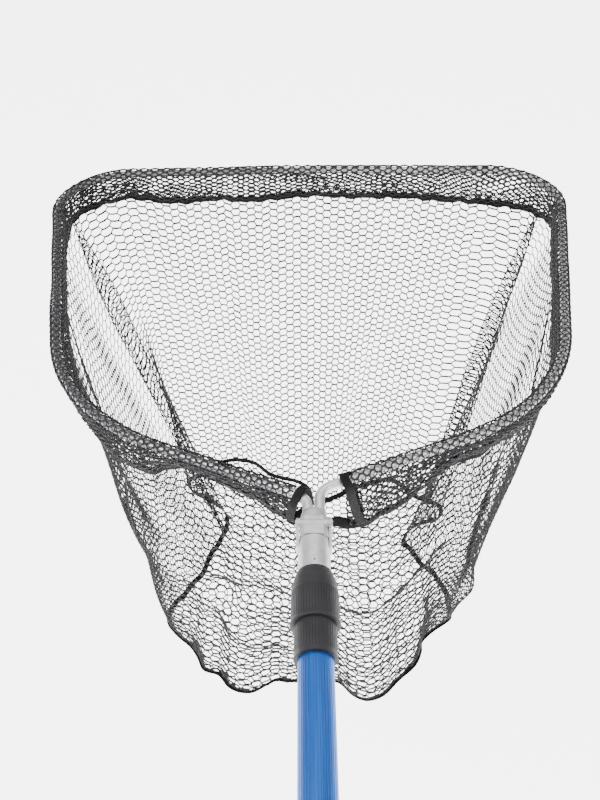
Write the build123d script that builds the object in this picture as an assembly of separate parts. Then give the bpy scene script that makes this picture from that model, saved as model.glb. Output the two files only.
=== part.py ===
"""Landing net: telescopic handle, twist lock, folding head, one-piece hoop and hanging net bag.

Millimetres. +Y runs along the handle towards the hoop, +Z is up, +X is to the right of someone
holding the grip. The net's mouth lies in the XY plane and the bag hangs down. The origin is the
middle of the hand grip. Shapes are drawn with y = 0 at the yoke, the front face of the hoop block,
and moved to the origin by save().
"""

import math
import os

from build123d import *

os.makedirs("parts", exist_ok=True)

# Handle, from the yoke backwards (y is negative)
SEAM_Y = -32.0  # hoop block meets the fork
TUBE_FRONT_Y = -38.5  # inner tube ends inside the fork's socket
COLLAR_FRONT_Y = -63.0
COLLAR_LENGTH = 49.5
TAPER_LENGTH = 21.0  # smooth nose of the lock nut
LOWER_SLEEVE_LENGTH = 28.5
OUTER_TUBE_SHOWN = 800.0
INNER_TUBE_LENGTH = 760.0
GRIP_LENGTH = 220.0
GRIP_R = 17.0

OUTER_R = 14.0
OUTER_WALL = 0.8
INNER_R = 12.7
INNER_WALL = 1.0
NUT_NOSE_R = 14.8
NUT_R = 19.5
STEP_RING_R = 20.2
STEP_RING_LENGTH = 3.0
LOWER_SLEEVE_R = 17.0
NECK_R = 16.2
SLIDE_GAP = 0.3  # between parts that pass each other

COLLAR_END_Y = COLLAR_FRONT_Y - COLLAR_LENGTH
SLEEVE_END_Y = COLLAR_END_Y - LOWER_SLEEVE_LENGTH
BUTT_Y = SLEEVE_END_Y - OUTER_TUBE_SHOWN
OUTER_FRONT_Y = COLLAR_FRONT_Y - 33.0
INNER_END_Y = TUBE_FRONT_Y - INNER_TUBE_LENGTH
GRIP_MIDDLE_Y = BUTT_Y + GRIP_LENGTH / 2

# Folding head
PIVOT_Y, PIVOT_Z = -17.5, 9.3
PIN_R = 2.5
SOCKET_R = 13.9  # the fork's socket, over the front of the inner tube
SOCKET_END_Y = COLLAR_FRONT_Y + SLIDE_GAP
BLOCK_R = 12.8
BLOCK_HALF_WIDTH = 12.5
BLOCK_BOTTOM = -11.0
NOSE_BACK_R, NOSE_R, NOSE_TIP_R = 12.4, 11.4, 10.5
BLOCK_CORNER_R = 15.2
BODY_FRONT_Y = -11.5  # in front of this the block narrows to a nose that holds the hoop's ends
CHEEK_INNER, CHEEK_OUTER = 12.8, 15.3
HOOP_PORT_X = 5.3  # the two hoop ends sit this far each side of the middle
HOOP_PORT_DEPTH = 15.0
SPIGOT_RIVET_Y = -57.5
SPIGOT_SEAT_Z = 13.0
HOOP_RIVET_Y = -6.0

# Hoop: a bent tube with V arms, leaning sides and a straight far bar
HOOP_R = 4.75
HOOP_WALL = 1.0
ARM_BEND_Y_LEFT, ARM_BEND_Y_RIGHT = 19.0, 28.0
KNEE_LEFT, KNEE_RIGHT = (-256.0, 128.0), (258.0, 142.5)
CORNER_LEFT, CORNER_RIGHT = (-358.5, 621.5), (364.8, 637.0)
FAR_MIDDLE = (0.0, 638.5)
ARM_BEND_R, KNEE_R_LEFT, KNEE_R_RIGHT = 18.0, 232.0, 236.0
CORNER_R_LEFT, CORNER_R_RIGHT, FAR_BOW_R = 92.0, 88.0, 2500.0

# Net
SLEEVE_TOP, SLEEVE_BOTTOM = -5.1, -49.8
SLEEVE_THICKNESS = 3.0
TAPE_WIDTH = 10.0
END_TAPE_WIDTH = 8.0
RIM_TOP = SLEEVE_BOTTOM - 0.2
BAG_TOP = RIM_TOP - TAPE_WIDTH - 0.2
WAIST_Z = -330.0
BASE_Z = -440.0
BAG_WALL = 1.0
# right half of each level's outline, from the near middle round to the far middle
MOUTH = [(0, 24), (118, 76), (200, 120), (248, 190), (286, 330), (322, 490), (338, 606), (0, 628)]
WAIST = [(0, 42), (92, 56), (165, 95), (206, 155), (226, 250), (230, 365), (212, 482), (0, 495)]
BASE = [(0, 52), (80, 54), (140, 76), (182, 125), (194, 190), (192, 300), (172, 425), (0, 440)]


def save(name, *shapes):
    """Writes one node, moved so that the grip's middle is the origin."""
    solids = [solid.moved(Pos(0, -GRIP_MIDDLE_Y, 0)) for shape in shapes for solid in shape.solids()]
    export_step(solids[0] if len(solids) == 1 else Compound(children=solids), f"parts/{name}.step")


def along_y(shape):
    """Turns a shape built about +Z so that it lies about +Y."""
    return Rot(-90, 0, 0) * shape


def turned(*points):
    """A lathe part about +Y from (radius, y) points."""
    profile = make_face(Polyline(*[(r, 0, y) for r, y in points], close=True))
    return along_y(revolve(profile, Axis.Z))


def rod(radius, y0, y1, x=0.0, z=0.0):
    return Pos(x, y0, z) * along_y(extrude(Circle(radius), y1 - y0))


def ring(outer, inner, y0, y1):
    return rod(outer, y0, y1) - rod(inner, y0, y1)


def ribbed(radius, y0, y1, count, groove_r, depth):
    """A rod with evenly spaced lengthwise grooves."""
    grooves = PolarLocations(radius + groove_r - depth, count) * Circle(groove_r)
    return Pos(0, y0, 0) * along_y(extrude(Circle(radius) - grooves, y1 - y0))


def cross_rod(radius, x0, x1, y, z):
    """A rod along +X."""
    return Pos(x0, y, z) * Rot(0, 90, 0) * extrude(Circle(radius), x1 - x0)


def upright_rod(radius, x, y, z0, z1):
    return Pos(x, y, z0) * extrude(Circle(radius), z1 - z0)


def side_plate(points, x0, x1):
    """A plate in the YZ plane, from x0 to x1."""
    return extrude(make_face(Polyline(*[(x0, y, z) for y, z in points], close=True)), x1 - x0, dir=(1, 0, 0))


def make_outer_tube():
    """Drawn tube with fine flutes outside, and a narrow flat under each flute in its bore."""
    flutes = 36
    blank = ribbed(OUTER_R, BUTT_Y, OUTER_FRONT_Y, flutes, 1.0, 0.2)
    bore = RegularPolygon(OUTER_R - OUTER_WALL, flutes, major_radius=False, rotation=180 / flutes)
    return blank - Pos(0, BUTT_Y, 0) * along_y(extrude(bore, OUTER_FRONT_Y - BUTT_Y))


def make_hand_grip():
    return ring(GRIP_R, OUTER_R, BUTT_Y, BUTT_Y + GRIP_LENGTH)


def make_grip_ring():
    front = BUTT_Y + GRIP_LENGTH
    return turned((OUTER_R, front), (GRIP_R, front), (GRIP_R - 0.6, front + 5), (OUTER_R + 0.9, front + 9),
                  (OUTER_R, front + 9))


def make_butt_cap():
    plug_r = OUTER_R - OUTER_WALL
    return turned((0, BUTT_Y + 25), (plug_r, BUTT_Y + 25), (plug_r, BUTT_Y), (GRIP_R - 0.5, BUTT_Y),
                  (GRIP_R - 0.5, BUTT_Y - 3), (GRIP_R - 2, BUTT_Y - 5.2), (GRIP_R - 5, BUTT_Y - 6.4),
                  (0, BUTT_Y - 7))


def make_lower_sleeve():
    """Plastic collar fixed on the outer tube, with the threaded neck that the nut turns on."""
    shoulder = COLLAR_END_Y - SLIDE_GAP
    body = ribbed(LOWER_SLEEVE_R, SLEEVE_END_Y + 4, shoulder, 44, 0.5, 0.3)
    lip = rod(LOWER_SLEEVE_R, SLEEVE_END_Y, SLEEVE_END_Y + 4)
    neck = rod(NECK_R, shoulder, OUTER_FRONT_Y)
    return body + lip + neck - rod(OUTER_R, SLEEVE_END_Y, OUTER_FRONT_Y)


def make_collet():
    """Split cone that the nut squeezes onto the inner tube."""
    back, front = OUTER_FRONT_Y + 0.2, COLLAR_FRONT_Y - 8
    bore = INNER_R + 0.1
    cone = turned((bore, back), (15.6, back), (15.6, back + 8), (14.2, front), (bore, front))
    slit = Pos(0, (back + front) / 2 + 5, 0) * Box(40, front - back, 1.2)
    return cone - slit - Rot(0, 60, 0) * slit - Rot(0, 120, 0) * slit


def make_lock_nut():
    taper_end = COLLAR_FRONT_Y - TAPER_LENGTH
    ring_front = COLLAR_END_Y + STEP_RING_LENGTH
    nose = turned((0, taper_end), (NUT_R, taper_end), (NUT_R - 0.5, taper_end + 5),
                  (NUT_R - 1.6, taper_end + 10.5), (NUT_R - 3.1, taper_end + 16),
                  (NUT_NOSE_R + 0.4, taper_end + 19.6), (NUT_NOSE_R - 0.4, COLLAR_FRONT_Y), (0, COLLAR_FRONT_Y))
    body = ribbed(NUT_R, ring_front, taper_end, 52, 0.5, 0.35)
    step = turned((0, COLLAR_END_Y), (STEP_RING_R - 0.5, COLLAR_END_Y), (STEP_RING_R, COLLAR_END_Y + 0.7),
                  (STEP_RING_R, ring_front - 0.7), (STEP_RING_R - 0.5, ring_front), (0, ring_front))
    cavity = turned((0, COLLAR_END_Y), (NECK_R + SLIDE_GAP, COLLAR_END_Y), (NECK_R + SLIDE_GAP, OUTER_FRONT_Y + 9),
                    (14.9, COLLAR_FRONT_Y - 7), (INNER_R + SLIDE_GAP, COLLAR_FRONT_Y - 7),
                    (INNER_R + SLIDE_GAP, COLLAR_FRONT_Y - 4), (14.0, COLLAR_FRONT_Y - 4),
                    (14.0, COLLAR_FRONT_Y), (0, COLLAR_FRONT_Y))
    return nose + body + step - cavity


def make_wiper_ring():
    return ring(14.0, INNER_R + 0.15, COLLAR_FRONT_Y - 4, COLLAR_FRONT_Y - 0.4)


def make_inner_tube():
    tube = ring(INNER_R, INNER_R - INNER_WALL, INNER_END_Y, TUBE_FRONT_Y)
    return tube - upright_rod(1.5, 0, SPIGOT_RIVET_Y, -20, 20)


def make_guide_bush():
    """Nylon bush in the tail of the inner tube; it centres the tube and keeps it from pulling out."""
    bore_r = OUTER_R - OUTER_WALL - 0.05
    flange = ring(bore_r, 8, INNER_END_Y - 20.1, INNER_END_Y - 0.1)
    return flange + ring(INNER_R - INNER_WALL - 0.05, 8, INNER_END_Y - 0.1, INNER_END_Y + 18)


def make_fork():
    """Cast fork: a socket over the inner tube's front, and two cheeks for the pivot."""
    body = turned((0, SEAM_Y), (SOCKET_R, SEAM_Y), (SOCKET_R - 0.4, SOCKET_END_Y), (0, SOCKET_END_Y))
    body += Pos(0, (SEAM_Y + TUBE_FRONT_Y) / 2, -1) * Box(2 * CHEEK_OUTER, SEAM_Y - TUBE_FRONT_Y, 12)
    outline = [(TUBE_FRONT_Y, -7), (SEAM_Y, -8.5), (-11, -8.5), (-8.5, -5), (-8.5, 3), (PIVOT_Y + 4.5, PIVOT_Z),
               (PIVOT_Y - 4.5, PIVOT_Z), (SEAM_Y, 7), (TUBE_FRONT_Y, 5)]
    for side in (-1, 1):
        x0, x1 = sorted((side * CHEEK_INNER, side * CHEEK_OUTER))
        cheek = side_plate(outline, x0, x1) + cross_rod(4.6, x0, x1, PIVOT_Y, PIVOT_Z)
        body += cheek - cross_rod(PIN_R, x0, x1, PIVOT_Y, PIVOT_Z)
    body -= rod(INNER_R, SOCKET_END_Y, TUBE_FRONT_Y)
    body -= upright_rod(1.5, 0, SPIGOT_RIVET_Y, -20, 20)
    return body - upright_rod(2.6, 0, SPIGOT_RIVET_Y, SPIGOT_SEAT_Z, 20)


def make_spigot_rivet():
    """Tubular rivet: its rolled head shows as a small dimple on top of the socket."""
    shank = upright_rod(1.5, 0, SPIGOT_RIVET_Y, -SPIGOT_SEAT_Z, SPIGOT_SEAT_Z)
    head = upright_rod(2.6, 0, SPIGOT_RIVET_Y, SPIGOT_SEAT_Z, SPIGOT_SEAT_Z + 0.5)
    return shank + head - upright_rod(0.9, 0, SPIGOT_RIVET_Y, SPIGOT_SEAT_Z - 2, 20)


def make_pivot_pin():
    pin = cross_rod(PIN_R, -CHEEK_OUTER, CHEEK_OUTER, PIVOT_Y, PIVOT_Z)
    for side in (-1, 1):
        x0, x1 = sorted((side * CHEEK_OUTER, side * (CHEEK_OUTER + 0.8)))
        pin += cross_rod(3.3, x0, x1, PIVOT_Y, PIVOT_Z)
    return pin


def make_hoop_block():
    """Cast block that folds on the pivot pin. Both hoop ends run side by side into its nose."""
    back = SEAM_Y + SLIDE_GAP
    outline = [(BODY_FRONT_Y, BLOCK_BOTTOM), (BODY_FRONT_Y, BLOCK_R), (back + 1.2, BLOCK_R), (back, PIVOT_Z),
               (back, BLOCK_BOTTOM + 1.5), (back + 1.5, BLOCK_BOTTOM)]
    body = side_plate(outline, -BLOCK_HALF_WIDTH, BLOCK_HALF_WIDTH) & rod(BLOCK_CORNER_R, back, BODY_FRONT_Y)
    knuckle = cross_rod(4.0, -BLOCK_HALF_WIDTH, BLOCK_HALF_WIDTH, PIVOT_Y, PIVOT_Z)
    nose = turned((0, BODY_FRONT_Y), (NOSE_BACK_R, BODY_FRONT_Y), (NOSE_R, -3), (NOSE_TIP_R, 0), (0, 0))
    nose -= Pos(0, 0, BLOCK_BOTTOM - 5) * Box(40, 40, 10)
    block = body + knuckle + nose
    for side in (-1, 1):
        x = side * HOOP_PORT_X
        block += upright_rod(3.4, x, HOOP_RIVET_Y, BLOCK_BOTTOM, -5)
        block -= rod(HOOP_R, -HOOP_PORT_DEPTH, 1, x)
        block -= upright_rod(1.6, x, HOOP_RIVET_Y, -20, 0)
    return block - cross_rod(PIN_R + 0.06, -20, 20, PIVOT_Y, PIVOT_Z)


def make_hoop_rivets():
    """Blind rivets from below that hold the hoop's ends."""
    rivets = []
    for side in (-1, 1):
        x = side * HOOP_PORT_X
        head = upright_rod(2.8, x, HOOP_RIVET_Y, BLOCK_BOTTOM - 0.9, BLOCK_BOTTOM)
        rivets.append(upright_rod(1.6, x, HOOP_RIVET_Y, BLOCK_BOTTOM, -3.2) + head)
    return rivets


def step_along(a, b, distance):
    """The point that lies the given distance from a towards b."""
    length = math.dist(a, b)
    return tuple(p + (q - p) * distance / length for p, q in zip(a, b))


def hoop_points():
    """Corners of the hoop's centre line, from the left end round to the right end."""
    ax = HOOP_PORT_X
    left = [(-ax, -HOOP_PORT_DEPTH), (-ax, ARM_BEND_Y_LEFT), KNEE_LEFT, CORNER_LEFT]
    right = [CORNER_RIGHT, KNEE_RIGHT, (ax, ARM_BEND_Y_RIGHT), (ax, -HOOP_PORT_DEPTH)]
    return left + [FAR_MIDDLE] + right


def hoop_path():
    return FilletPolyline(*hoop_points(), radius=[ARM_BEND_R, KNEE_R_LEFT, CORNER_R_LEFT, FAR_BOW_R,
                                                  CORNER_R_RIGHT, KNEE_R_RIGHT, ARM_BEND_R])


def make_hoop_tube():
    path = hoop_path()
    start = Plane(origin=path @ 0, z_dir=path % 0)
    tube = sweep(start * (Circle(HOOP_R) - Circle(HOOP_R - HOOP_WALL)), path=path)
    for side in (-1, 1):
        tube -= upright_rod(1.6, side * HOOP_PORT_X, HOOP_RIVET_Y, -20, 0)
    return tube


def band(path, top, bottom, thickness):
    """An upright strip that hangs under a level path."""
    start = path @ 0
    middle = Vector(start.X, start.Y, (top + bottom) / 2)
    plane = Plane(origin=middle, x_dir=(0, 0, 1), z_dir=path % 0)
    lowered = path.moved(Pos(0, 0, (top + bottom) / 2))
    return sweep(plane * Rectangle(top - bottom, thickness), path=lowered)


LEFT = hoop_points()[1:4]
RIGHT = hoop_points()[5:8][::-1]
LEFT_STARTS = (11.0, 11.0 + END_TAPE_WIDTH)  # end tape, then the sleeve, from the arm's bend
RIGHT_STARTS = (25.0, 25.0 + END_TAPE_WIDTH)
FAR_SHARE = 112.0  # the far sleeve takes the corners and this much of each side


def make_side_sleeve(points, starts, knee_r):
    bend, knee, corner = points
    path = FilletPolyline(step_along(bend, knee, starts[1] + 0.2), knee,
                          step_along(corner, knee, FAR_SHARE + 0.2), radius=knee_r)
    return band(path, SLEEVE_TOP, SLEEVE_BOTTOM, SLEEVE_THICKNESS)


def make_end_tape(points, starts):
    path = Line(step_along(points[0], points[1], starts[0]), step_along(points[0], points[1], starts[1]))
    return band(path, SLEEVE_TOP, SLEEVE_BOTTOM, SLEEVE_THICKNESS)


def make_far_sleeve():
    path = FilletPolyline(step_along(LEFT[2], LEFT[1], FAR_SHARE), LEFT[2], FAR_MIDDLE, RIGHT[2],
                          step_along(RIGHT[2], RIGHT[1], FAR_SHARE),
                          radius=[CORNER_R_LEFT, FAR_BOW_R, CORNER_R_RIGHT])
    return band(path, SLEEVE_TOP, SLEEVE_BOTTOM, SLEEVE_THICKNESS)


def make_rim_tape():
    path = FilletPolyline(step_along(LEFT[0], LEFT[1], LEFT_STARTS[0]), *LEFT[1:], FAR_MIDDLE, RIGHT[2], RIGHT[1],
                          step_along(RIGHT[0], RIGHT[1], LEFT_STARTS[0]),
                          radius=[KNEE_R_LEFT, CORNER_R_LEFT, FAR_BOW_R, CORNER_R_RIGHT, KNEE_R_RIGHT])
    return band(path, RIM_TOP, RIM_TOP - TAPE_WIDTH, SLEEVE_THICKNESS)


def outline_face(half, z, inset=0.0):
    """A level face from the right half of an outline, mirrored to the left."""
    left = [(-x, y) for x, y in half[-2:0:-1]]
    face = make_face(Polyline(*[(x, y) for x, y in half + left], close=True))
    if inset:
        face = offset(face, amount=-inset, kind=Kind.INTERSECTION)
    return Pos(0, 0, z) * face


def bag_volume(inset):
    levels = [outline_face(half, z, inset) for half, z in ((MOUTH, BAG_TOP), (WAIST, WAIST_Z), (BASE, BASE_Z))]
    return loft(levels[:2], ruled=True) + loft(levels[1:], ruled=True)


def make_bag_walls():
    """The bag's wall, cut at its four upright edges into far, near, left and right panels."""
    wall = bag_volume(0) - bag_volume(BAG_WALL)
    reach = 1500.0
    far_slope = (MOUTH[6][1] - BASE[6][1]) / (MOUTH[6][0] - BASE[6][0])
    apex = BASE[6][1] - BASE[6][0] * far_slope
    near_slope = (MOUTH[2][1] - apex) / MOUTH[2][0]

    def wedge(slope, end):
        edge_y = apex + reach * slope
        points = [(0, apex), (reach, edge_y), (reach, end), (-reach, end), (-reach, edge_y)]
        return Pos(0, 0, -reach / 2) * extrude(make_face(Polyline(*points, close=True)), reach)

    far = wall & wedge(far_slope, 2 * reach)
    near = wall & wedge(near_slope, -reach)
    sides = wall - far - near
    right = sides & Pos(reach / 2, 0, 0) * Box(reach, 2 * reach, 2 * reach)
    left = sides & Pos(-reach / 2, 0, 0) * Box(reach, 2 * reach, 2 * reach)
    return {"bag_far": far, "bag_near": near, "bag_left": left, "bag_right": right}


def make_base_panel():
    return extrude(outline_face(BASE, BASE_Z - 0.2 - BAG_WALL, 0), BAG_WALL)


def make_base_tape():
    """Binding over the seam between the base and the walls."""
    bottom = BASE_Z - 0.2 - TAPE_WIDTH
    outer = outline_face(BASE, bottom, -2.2)
    inner = outline_face(BASE, bottom, -0.2)
    return extrude(outer, TAPE_WIDTH) - extrude(inner, TAPE_WIDTH)


save("outer_tube", make_outer_tube())
save("hand_grip", make_hand_grip())
save("grip_ring", make_grip_ring())
save("butt_cap", make_butt_cap())
save("lower_sleeve", make_lower_sleeve())
save("collet", make_collet())
save("lock_nut", make_lock_nut())
save("wiper_ring", make_wiper_ring())
save("inner_tube", make_inner_tube())
save("guide_bush", make_guide_bush())
save("fork", make_fork())
save("spigot_rivet", make_spigot_rivet())
save("pivot_pin", make_pivot_pin())
save("hoop_block", make_hoop_block())
save("hoop_rivets", *make_hoop_rivets())
save("hoop_tube", make_hoop_tube())
save("sleeve_left", make_side_sleeve(LEFT, LEFT_STARTS, KNEE_R_LEFT))
save("sleeve_right", make_side_sleeve(RIGHT, RIGHT_STARTS, KNEE_R_RIGHT))
save("sleeve_far", make_far_sleeve())
save("end_tape_left", make_end_tape(LEFT, LEFT_STARTS))
save("end_tape_right", make_end_tape(RIGHT, RIGHT_STARTS))
save("rim_tape", make_rim_tape())
for panel_name, panel in make_bag_walls().items():
    save(panel_name, panel)
save("bag_base", make_base_panel())
save("base_tape", make_base_tape())
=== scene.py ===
import math

import bpy
import numpy as np
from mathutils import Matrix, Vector


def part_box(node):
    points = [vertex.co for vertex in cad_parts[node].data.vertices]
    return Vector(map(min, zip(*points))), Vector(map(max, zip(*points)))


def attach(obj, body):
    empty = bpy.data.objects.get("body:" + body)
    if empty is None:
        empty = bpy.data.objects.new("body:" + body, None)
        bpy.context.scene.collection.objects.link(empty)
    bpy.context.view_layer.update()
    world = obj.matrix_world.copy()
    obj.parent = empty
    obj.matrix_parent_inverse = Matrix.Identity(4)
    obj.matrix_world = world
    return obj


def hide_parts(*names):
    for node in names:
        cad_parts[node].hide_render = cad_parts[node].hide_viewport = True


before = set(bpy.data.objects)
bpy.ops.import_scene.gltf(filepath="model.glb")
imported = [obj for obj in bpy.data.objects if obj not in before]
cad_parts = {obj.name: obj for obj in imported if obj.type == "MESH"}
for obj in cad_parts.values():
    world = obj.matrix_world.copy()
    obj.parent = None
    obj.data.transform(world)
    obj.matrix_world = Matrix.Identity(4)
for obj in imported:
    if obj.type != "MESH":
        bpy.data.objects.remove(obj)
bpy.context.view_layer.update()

# ---------------------------------------------------------------- places and sizes, in metres
# In plan, x is to the right and y runs forwards from the yoke, the hoop block's front face. z is up.
YOKE_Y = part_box("hoop_block")[1].y
HOOP_R = 0.00475
ARM_BEND_LEFT, ARM_BEND_RIGHT = (-0.0053, 0.019), (0.0053, 0.028)
KNEE_LEFT, KNEE_RIGHT = (-0.256, 0.128), (0.258, 0.1425)
CORNER_LEFT, CORNER_RIGHT = (-0.3585, 0.6215), (0.3648, 0.637)
FAR_MIDDLE = (0.0, 0.6385)
YOKE_MIDDLE = (0, 0.022)
ARM_BEND_R = 0.003
KNEE_R_LEFT, KNEE_R_RIGHT = 0.232, 0.236
CORNER_R_LEFT, CORNER_R_RIGHT = 0.092, 0.088
FAR_BOW_R = 2.5
BASE_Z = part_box("bag_base")[0].z + 0.001
TAPE_WIDTH = 0.010  # as cut; it looks narrower where it is folded round a seam
BASE_TAPE_WIDTH = 0.008
HEM_THICKNESS = 0.00208
LOOP_THICKNESS = 0.00195

# hexagonal netting: long joints run level, thinner legs slant between them
CELL_WIDTH = 0.0229
CELL_HEIGHT = 0.0103
JOINT_LENGTH = 0.0078
JOINT_R = 0.00132
LEG_R = 0.00098
UP = np.array([0, 0, 1.0])
TINY = 1e-9


def smoothstep(x):
    x = np.clip(x, 0.0, 1.0)
    return x * x * (3 - 2 * x)


def bump_of(x):
    return np.exp(-0.5 * x * x)


def between(a, b, share):
    return a + (b - a) * share


def unit(vectors):
    return vectors / np.maximum(np.linalg.norm(vectors, axis=-1, keepdims=True), TINY)


def in_space(plan, z=0.0):
    """Gives plan points or directions a height."""
    return np.concatenate([plan, np.broadcast_to(z, plan.shape[:-1])[..., None]], -1)


def steps_of(points):
    return np.linalg.norm(np.diff(points, axis=0), axis=1)


def marks_of(points):
    """Distance along a line of points, at each of them."""
    return np.concatenate([[0], np.cumsum(steps_of(points))])


# ---------------------------------------------------------------- curves
def rounded(corners, radii, step=0.002):
    """Points along straight runs joined by tangent arcs, in the plane."""
    points = [np.array(corners[0], float)]
    for before, here, after, radius in zip(corners, corners[1:], corners[2:], radii):
        a, b, c = (np.array(p, float) for p in (before, here, after))
        d0, d1 = (b - a) / np.linalg.norm(b - a), (c - b) / np.linalg.norm(c - b)
        turn = math.acos(np.clip(d0 @ d1, -1, 1))
        side = np.sign(d0[0] * d1[1] - d0[1] * d1[0])
        start = b - d0 * radius * math.tan(turn / 2)
        centre = start + side * radius * np.array([-d0[1], d0[0]])
        first = start - centre
        for angle in np.linspace(0, turn, max(3, int(radius * turn / step))):
            ca, sa = math.cos(side * angle), math.sin(side * angle)
            points.append(centre + np.array([ca * first[0] - sa * first[1], sa * first[0] + ca * first[1]]))
    points.append(np.array(corners[-1], float))
    return np.array(points)


class Route:
    """A closed plane curve that is read by the distance along it."""

    def __init__(self, corners, step=0.001):
        corners = np.vstack([corners, corners[:1]])
        marks = marks_of(corners)
        self.length = marks[-1]
        self.marks = np.linspace(0, self.length, int(self.length / step))
        self.points = np.stack([np.interp(self.marks, marks, corners[:, i]) for i in range(2)], -1)

    def at(self, s):
        s = np.mod(s, self.length)
        return np.stack([np.interp(s, self.marks, self.points[:, i]) for i in range(2)], -1)

    def outward(self, s, reach=0.004):
        """Level unit vector that points out of the hoop."""
        along = self.at(s + reach) - self.at(s - reach)
        return unit(np.stack([-along[..., 1], along[..., 0]], -1))

    def nearest(self, point):
        return self.marks[np.argmin(np.linalg.norm(self.points - np.array(point), axis=1))]


def closed_spline(keys, values, period, s):
    """Smooth closed curve through values at the given keys."""
    keys, values = np.asarray(keys, float), np.asarray(values, float)
    k = np.concatenate([keys[-2:] - period, keys, keys[:2] + period])
    v = np.concatenate([values[-2:], values, values[:2]])
    slopes = (v[2:] - v[:-2]) / (k[2:] - k[:-2]).reshape(-1, *([1] * (v.ndim - 1)))
    k, v = k[1:-1], v[1:-1]
    s = np.mod(np.asarray(s, float), period)
    i = np.clip(np.searchsorted(k, s, side="right") - 1, 0, len(k) - 2)
    h = k[i + 1] - k[i]
    x = (s - k[i]) / h
    shape = x.shape + (1,) * (v.ndim - 1)
    x, h = x.reshape(shape), h.reshape(shape)
    return ((2 * x**3 - 3 * x**2 + 1) * v[i] + (x**3 - 2 * x**2 + x) * h * slopes[i]
            + (3 * x**2 - 2 * x**3) * v[i + 1] + (x**3 - x**2) * h * slopes[i + 1])


hoop = Route(rounded([YOKE_MIDDLE, ARM_BEND_LEFT, KNEE_LEFT, CORNER_LEFT, FAR_MIDDLE,
                      CORNER_RIGHT, KNEE_RIGHT, ARM_BEND_RIGHT, YOKE_MIDDLE],
                     [ARM_BEND_R, KNEE_R_LEFT, CORNER_R_LEFT, FAR_BOW_R,
                      CORNER_R_RIGHT, KNEE_R_RIGHT, ARM_BEND_R])[:-1])
AROUND = hoop.length
CELLS_AROUND = round(AROUND / CELL_WIDTH)
CELL_U = AROUND / CELLS_AROUND

# distances round the hoop, from the yoke to the left and back to it from the right
LEFT_START = hoop.nearest((-0.0130, 0.0216))
RIGHT_START = hoop.nearest((0.0300, 0.0390))
S_KNEE_L, S_KNEE_R = hoop.nearest(KNEE_LEFT), hoop.nearest(KNEE_RIGHT)
S_CORNER_L, S_CORNER_R = hoop.nearest(CORNER_LEFT), hoop.nearest(CORNER_RIGHT)
S_FAR = hoop.nearest(FAR_MIDDLE)


def ripple(s, count, height, phase=0.0):
    """A wave with a whole number of periods round the hoop."""
    return height * np.sin(s * 2 * np.pi * count / AROUND + phase)


# ---------------------------------------------------------------- the rim: where the sleeve's hem hangs
# distance round the hoop, how deep the hem hangs, and how far it leans into the hoop; millimetres
HEM = [(0, 44, 0), (28, 44, 4), (55, 35, 6), (87, 31, 8), (119, 27, 12), (149, 30, 12), (181, 48, 7),
       (234, 55, 6), (269, 50, 9), (312, 40, 15), (356, 38, 14), (433, 45, 5), (495, 44, 1), (593, 40, 0),
       (660, 44, 3), (711, 36, 1), (779, 36, 3), (810, 35, 1), (861, 44, 0), (933, 42, 0), (983, 45, 0),
       (1063, 38, 0), (1135, 41, 0), (1201, 40, 0), (1276, 47, 0), (1349, 51, 0), (1417, 43, 2),
       (1496, 42, 3), (1573, 46, 3), (1629, 40, 3), (1689, 56, 2), (1740, 48, 4), (1806, 50, 6),
       (1865, 52, 9), (1927, 37, 9), (1957, 40, 8), (1978, 36, 8), (2006, 53, 7), (2034, 62, 3),
       (2068, 69, 0), (2095, 68, -2), (2119, 54, 0)]


def hem_point(s):
    """Centre of the rim tape."""
    keys = [row[0] / 1000 for row in HEM]
    values = closed_spline(keys, [[row[1] / 1000, row[2] / 1000] for row in HEM], AROUND, s)
    depth, inward = values[..., 0], values[..., 1]
    depth = depth + ripple(s, 61, 0.0010) + ripple(s, 97, 0.0008, 1)
    return in_space(hoop.at(s) - hoop.outward(s) * inward[..., None], -depth)


# ---------------------------------------------------------------- the base seam
# runs of the seam: the rim's distances at its two ends, then its points in plan; millimetres
SEAM_RUNS = [
    (0, 189, [(0, 78), (-29, 76), (-42, 78), (-55, 72), (-73, 63), (-90, 64), (-104, 71), (-118, 87),
              (-138, 94), (-147, 111), (-158, 128), (-177, 146), (-193, 165)]),
    (189, 683, [(-193, 165), (-195, 181), (-186, 197), (-171, 224), (-152, 259), (-136, 303), (-126, 333)]),
    (683, 780, [(-126, 333), (-126, 355), (-135, 371), (-155, 384), (-185, 402)]),
    (780, 1067, [(-185, 402), (-192, 430), (-160, 450), (-110, 440), (-55, 398), (0, 384)]),
    (1067, 1367, [(0, 384), (45, 396), (90, 420), (136, 424), (170, 402), (195, 388)]),
    (1367, 1482, [(195, 388), (210, 374), (203, 350), (188, 345), (168, 337), (150, 318), (144, 302)]),
    (1482, 1978, [(144, 302), (163, 277), (187, 240), (199, 200), (195, 170), (170, 152)]),
    (1978, 2145, [(170, 152), (152, 134), (149, 118), (139, 99), (116, 80), (96, 62), (75, 56), (57, 63),
                  (37, 80), (0, 78)]),
]


def seam_keys():
    """Spreads each run's points over its part of the rim by the distance between them."""
    keys, values = [], []
    for start, end, points in SEAM_RUNS:
        points = np.array(points) / 1000
        marks = marks_of(points)
        keys.extend((start + (end - start) * marks / marks[-1])[:-1] / 1000)
        values.extend(points[:-1])
    return keys, values


SEAM_KEYS, SEAM_VALUES = seam_keys()


def seam_point(s):
    plan = closed_spline(SEAM_KEYS, SEAM_VALUES, AROUND, s)
    return in_space(plan, BASE_Z + ripple(s, 9, 0.004) + ripple(s, 17, 0.003, 1))


PANEL_REACH = 0.30


def from_line(u, centre):
    """Signed distance round the rim, the short way."""
    return np.mod(u - centre + AROUND / 2, AROUND) - AROUND / 2


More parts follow.
